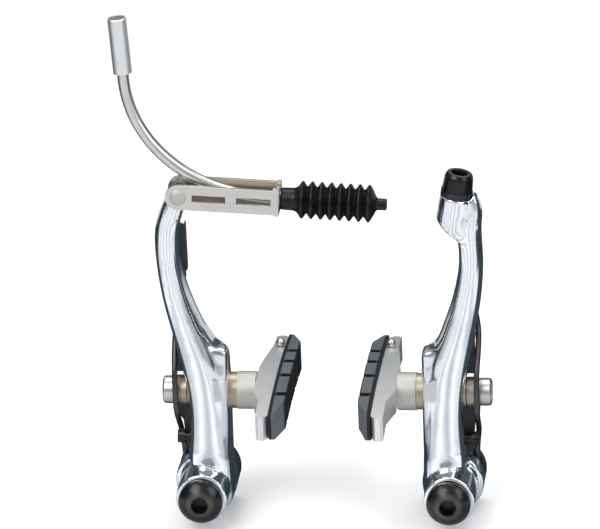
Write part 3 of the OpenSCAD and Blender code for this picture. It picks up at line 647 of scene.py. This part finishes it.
def dust_boot():
    """Rubber bellows, spun from one outline out and back, so that it is hollow."""
    shape = bmesh.new()
    outside = boot_outline()
    inside = [(along, max(radius - RUBBER, LEAST_RADIUS)) for along, radius in reversed(outside)]
    corners = [
        shape.verts.new(((BOOT_START + along) * MM, 0, radius * MM)) for along, radius in outside + inside
    ]
    bmesh.ops.spin(
        shape, geom=corners + closed_loop(shape, corners), cent=(0, 0, 0), axis=(1, 0, 0),
        angle=2 * math.pi, steps=BOOT_SIDES, use_merge=True
    )
    bmesh.ops.remove_doubles(shape, verts=shape.verts, dist=SAME_POINT)
    bmesh.ops.recalc_face_normals(shape, faces=shape.faces)
    bmesh.ops.transform(shape, matrix=AT_LINK, verts=shape.verts)
    piece = add_piece(
        "bellows_boot", shape, BODY_OF["dust_boot"], "boot_rubber", ("dust_boot",), BOOT_CREASE
    )
    subdivide(piece)


# Dark strips that fill the gap between the arm's outer edge and the wire, below and above the nut.
# Each row is a height with the strip's inner and outer edge, outwards from the pivot.
SHIELD_ROWS = {
    "lower": ((9, 3.6, 6.7), (16, 3.6, 7.35), (20.3, 3.6, 7.7), (22.4, 3.6, 9.3), (26.2, 3.6, 9.6)),
    "upper": ((37.9, 3.8, 9.4), (44, 5, 9.6), (46, 5.2, 9.2), (47, 5.4, 8.3), (50, 5.8, 8.3), (53, 6.5, 8.8)),
}
SHIELD_FRONT, SHIELD_BACK = 1.4, 2.6
SHIELD_EDGE = 0.3


def wire_shield(side, part):
    rows = SHIELD_ROWS[part]
    outline = [(inner, height) for height, inner, _ in rows]
    outline += [(outer, height) for height, _, outer in reversed(rows)]
    shape = bmesh.new()
    add_prism(shape, side, outline, SHIELD_FRONT, SHIELD_BACK)
    piece = add_piece(f"{side}_{part}_wire_shield", shape, BODY_OF[side + "_arm"], "resin")
    round_edges(piece, SHIELD_EDGE)


# Thread of a pivot bolt, in millimetres: its start behind the pivot's middle, its pitch and its ridge
THREAD_START, THREAD_TURNS, THREAD_PITCH = 12.2, 9, 1
THREAD_ROOT, THREAD_DEPTH = 2.95, 0.3
RIDGE_HALF = 0.42
THREAD_STEPS = 24


def bolt_thread(side):
    """The ridge of the pivot bolt's thread, wound along its free end."""
    pivot_x = PIVOT[side].x
    shape = bmesh.new()
    ridge = ((-RIDGE_HALF, 0), (0, THREAD_DEPTH), (RIDGE_HALF, 0))
    corners = [
        shape.verts.new((pivot_x, (THREAD_START + along) * MM, (THREAD_ROOT + out) * MM))
        for along, out in ridge
    ]
    bmesh.ops.spin(
        shape, geom=corners + closed_loop(shape, corners), cent=(pivot_x, 0, 0), axis=(0, 1, 0),
        angle=2 * math.pi * THREAD_TURNS, steps=THREAD_STEPS * THREAD_TURNS,
        dvec=(0, THREAD_PITCH / THREAD_STEPS * MM, 0)
    )
    bmesh.ops.holes_fill(shape, edges=[e for e in shape.edges if e.is_boundary])
    bmesh.ops.recalc_face_normals(shape, faces=shape.faces)
    add_piece(side + "_bolt_thread", shape, BODY_OF[side + "_pivot_bolt"], "black_steel")


# Spring wire: what subdivision takes off its round, and the angles under which two triangles are one face
WIRE_SWELL = 0.09 * MM
SAME_FACE, SAME_SHAPE = math.radians(20), math.radians(60)
WIRE_CREASE = 80


def return_spring(side):
    """The spring's own path with a round wire."""
    shape = merged_copy(side + "_spring")
    bmesh.ops.join_triangles(
        shape, faces=shape.faces, angle_face_threshold=SAME_FACE, angle_shape_threshold=SAME_SHAPE
    )
    for corner, outwards in [(v, v.normal.copy()) for v in shape.verts]:
        corner.co += WIRE_SWELL * outwards
    piece = add_piece(
        side + "_spring_wire", shape, BODY_OF[side + "_spring"], "spring_steel",
        (side + "_spring",), WIRE_CREASE
    )
    subdivide(piece)


# Bolts with a hexagon socket: the circle that holds the socket, the depth of its rim, and their axes
SOCKET_CORNER = 2.95 * MM
RIM_DEPTH = 0.6 * MM
FORWARDS = Vector((0, -1, 0))
CLAMP_AXIS = Vector((math.sin(CLAMP_LEAN), 0, math.cos(CLAMP_LEAN)))
PIVOT_CHAMFER, CLAMP_CHAMFER = 1.5 * MM, 0.9 * MM
HEAD_EDGE = 0.25


def socket_bolt(node, name, finish, axis_point, axis, chamfer):
    """A bolt whose hexagon socket has a chamfer at its mouth."""
    shape = whole_faces(node)

    def along(corner):
        return (corner.co - axis_point).dot(axis)

    def off_axis(corner):
        return (corner.co - axis_point - along(corner) * axis).length

    in_socket = {v for v in shape.verts if off_axis(v) < SOCKET_CORNER}
    mouth = max(along(v) for v in in_socket)
    rim = {v for v in in_socket if along(v) > mouth - RIM_DEPTH}
    edges = [e for e in shape.edges if all(v in rim for v in e.verts)]
    bmesh.ops.bevel(
        shape, geom=edges, offset=chamfer, offset_type="OFFSET", affect="EDGES", segments=2,
        profile=0.5, clamp_overlap=True, material=-1
    )
    piece = add_piece(name, shape, BODY_OF[node], finish, (node,))
    round_edges(piece, HEAD_EDGE)


# Every other piece keeps its CAD shape with rounded edges: piece, finish, slot and edge in millimetres
ARM_PIECES = {
    "spring_holder": ("spring_cup", "resin", "resin", 0.3),
    "spring_guide": ("wire_guide", "resin", "resin", 0.15),
    "tension_screw": ("notched_screw", "black_steel", "black_steel", 0.1),
    "thick_washer": ("cup_washer", "stainless", "stainless", 0.25),
    "thin_washer": ("domed_washer", "bronzed_steel", "bronzed_steel", 0.2),
    "outer_dome": ("outside_dome", "bronzed_steel", "stainless", 0.15),
    "outer_cup": ("outside_cup", "bronzed_steel", "stainless", 0.15),
    "shoe_nut": ("socket_nut", "steel", "stainless", 0.25),
    "shoe_holder": ("pad_carrier", "satin_alloy", "satin_alloy", 0.45),
    "pad_insert": ("rubber_pad", "pad_rubber", "pad_rubber", 0.25),
    "pad_pin": ("keeper_pin", "steel", "stainless", 0.1),
}
CABLE_PIECES = {
    "link_bracket": ("folded_link", "link", "stainless", 0.22),
    "link_pin": ("link_rivet", "stainless", "stainless", 0.12),
    "lead_nose": ("turned_nose", "steel", "stainless", 0.15),
    "lead_ferrule": ("housing_ferrule", "satin_alloy", "satin_alloy", 0.15),
    "clamp_washer": ("grooved_washer", "black_steel", "black_steel", 0.25),
}
HIDDEN_PIECES = {"bushing": "steel", "shoe_post": "steel"}


def dress_arm(side):
    """One arm with all that is on it."""
    forged_arm(side)
    return_spring(side)
    bolt = side + "_pivot_bolt"
    socket_bolt(bolt, bolt + "_head", "pivot_bolt_black", PIVOT[side], FORWARDS, PIVOT_CHAMFER)
    bolt_thread(side)
    for part in SHIELD_ROWS:
        wire_shield(side, part)
    for node, (name, finish, slot, edge) in ARM_PIECES.items():
        finer(f"{side}_{node}", f"{side}_{name}", finish, edge)
    for node, finish in HIDDEN_PIECES.items():
        recoat(f"{side}_{node}", finish)


def dress_cable_pieces():
    """The link, the lead pipe, the boot and the clamp."""
    for node, (name, finish, slot, edge) in CABLE_PIECES.items():
        finer(node, name, finish, edge)
    socket_bolt("clamp_bolt", "clamp_bolt_head", "clamp_bolt_black", CLAMP_TOP, CLAMP_AXIS, CLAMP_CHAMFER)
    recoat("lead_sleeve", "sleeve")
    lead_pipe()
    dust_boot()


# Stage: a pale floor just below the feet, soft lights, and cards that only reflections see
FLOOR_Z = cad_box[0][2] - 1.2 * MM
FLOOR_SIZE = (8, 8)
FLOOR_GLOW = 0.18
ABOVE = (0, 0, 1)
# Bands of painted reflection on a sheet just over the floor that only reflections see: its height over the floor,
# their spacing and shift along X, its size
BAND_RISE = 0.2 * MM
BAND_WIDTH = 0.105
BAND_SHIFT = 0.02
BANDS_SIZE = (1.6, 1.6)
# Where the dark stretch behind the brake begins and ends, along Y
DARK_FROM, DARK_TO = (-6 * MM, 8 * MM), (0.26, 0.42)
# Each side card's centre and size, and each light's place, size and power
AIM = (0, 0, 60 * MM)
SIDE_CARDS = {
    "card_right": ((0.28, 0.0, 0.04), (0.3, 0.2)),
    "card_left": ((-0.28, 0.03, 0.08), (0.24, 0.3)),
}
LIGHTS = {
    "key": ((-0.5, -0.7, 0.9), (0.7, 0.7), 8),
    "fill": ((0.8, -0.5, 0.6), (0.5, 0.8), 3.7),
    "top": ((0.1, 0.3, 1.1), (0.9, 0.6), 5.6),
}
# The sky's colours from straight down to straight up
SKY = (
    (0, (0.5, 0.52, 0.55)), (0.45, (0.75, 0.77, 0.8)), (0.62, (0.3, 0.32, 0.35)), (1, (0.95, 0.95, 0.96))
)
SKY_STRENGTH = 0.68
# Where the sky turns dark: towards the back, and not high up
SKY_BEHIND, SKY_LOW = (0.25, 0.7), (0.4, 0.8)
SKY_DARK = (0.1, 0.135, 0.15)


def paint(name, colour, roughness, glow=0.0):
    finish = Finish(name, {"Roughness": roughness, "Specular IOR Level": 0.1})
    finish.tint(finish.noise(60, 2), colour, tuple(0.99 * c for c in colour))
    if glow:
        finish.shader.inputs["Emission Color"].default_value = (*colour, 1)
        finish.shader.inputs["Emission Strength"].default_value = glow
    return finish.material


def banded_floor():
    """Painted reflections for polished metal on a sheet that only reflections see: soft grey bands in front, and a
    dark stretch behind.
    """
    finish = Finish("banded_floor", {"Roughness": 1.0, "Specular IOR Level": 0.0})
    wave = (finish.part("X") + BAND_SHIFT) * (2 * math.pi / BAND_WIDTH)
    bands = 0.5 + 0.5 * wave.math("SINE")
    away = finish.part("Y")
    behind = away.clear_of(*DARK_FROM) * (1 - away.clear_of(*DARK_TO))
    front = finish.mix(bands, (0.47, 0.5, 0.54), (0.95, 0.95, 0.95))
    finish.tint(behind, front, (0.035, 0.055, 0.062))
    return finish.material


def placed(spot, forwards):
    """The matrix that puts a flat thing at a spot with its Z side forwards."""
    return Matrix.Translation(spot) @ forwards.to_track_quat("Z", "Y").to_matrix().to_4x4()


def add_card(name, centre, facing, size, material, seen=True):
    """A flat sheet that faces a point. Unseen ones show only in reflections."""
    shape = bmesh.new()
    bmesh.ops.create_grid(shape, x_segments=1, y_segments=1, size=0.5)
    bmesh.ops.scale(shape, vec=(*size, 1), verts=shape.verts)
    bmesh.ops.transform(shape, matrix=placed(centre, Vector(facing) - Vector(centre)), verts=shape.verts)
    mesh = bpy.data.meshes.new(name)
    shape.to_mesh(mesh)
    shape.free()
    mesh.materials.append(material)
    card = bpy.data.objects.new(name, mesh)
    bpy.context.scene.collection.objects.link(card)
    if not seen:
        card.visible_camera = card.visible_diffuse = card.visible_shadow = False


def add_light(name, spot, size, power):
    """A soft light that shines on the middle of the brake. A lamp shines from its back, against its Z."""
    lamp = bpy.data.lights.new(name, "AREA")
    lamp.shape = "RECTANGLE"
    lamp.size, lamp.size_y = size
    lamp.energy = power
    light = bpy.data.objects.new(name, lamp)
    bpy.context.scene.collection.objects.link(light)
    light.matrix_world = placed(spot, Vector(spot) - Vector(AIM))


def hang_sky():
    """Soft light from all round, and darker behind the brake, which the flanks of the arms mirror."""
    world = bpy.data.worlds.new("studio")
    bpy.context.scene.world = world
    tree = Tree(world)
    direction = tree.node("TexCoord", output="Generated")
    height = tree.node("SeparateXYZ", None, {0: direction}, output="Z")
    away = tree.node("SeparateXYZ", None, {0: direction}, output="Y")
    sky = tree.node("ValToRGB", {"stops": SKY}, {0: 0.5 + 0.5 * height})
    behind = away.clear_of(*SKY_BEHIND) * (1 - height.clear_of(*SKY_LOW))
    background = tree.nodes["Background"]
    tree.join(tree.mix(behind, sky, SKY_DARK), background.inputs["Color"])
    background.inputs["Strength"].default_value = SKY_STRENGTH


def set_stage():
    pale = paint("pale_floor", (0.93, 0.93, 0.93), 0.9, FLOOR_GLOW)
    add_card("floor", (0, 0, FLOOR_Z), ABOVE, FLOOR_SIZE, pale)
    dark = paint("dark_card", (0.03, 0.045, 0.05), 1.0)
    for name, (centre, size) in SIDE_CARDS.items():
        add_card(name, centre, AIM, size, dark, seen=False)
    add_card("banded_floor", (0, 0, FLOOR_Z + BAND_RISE), ABOVE, BANDS_SIZE, banded_floor(), seen=False)
    for name, (spot, size, power) in LIGHTS.items():
        add_light(name, spot, size, power)
    hang_sky()
    bpy.context.scene.view_settings.view_transform = "Standard"


place_camera()
set_stage()
for side in SIDES:
    dress_arm(side)
dress_cable_pieces()
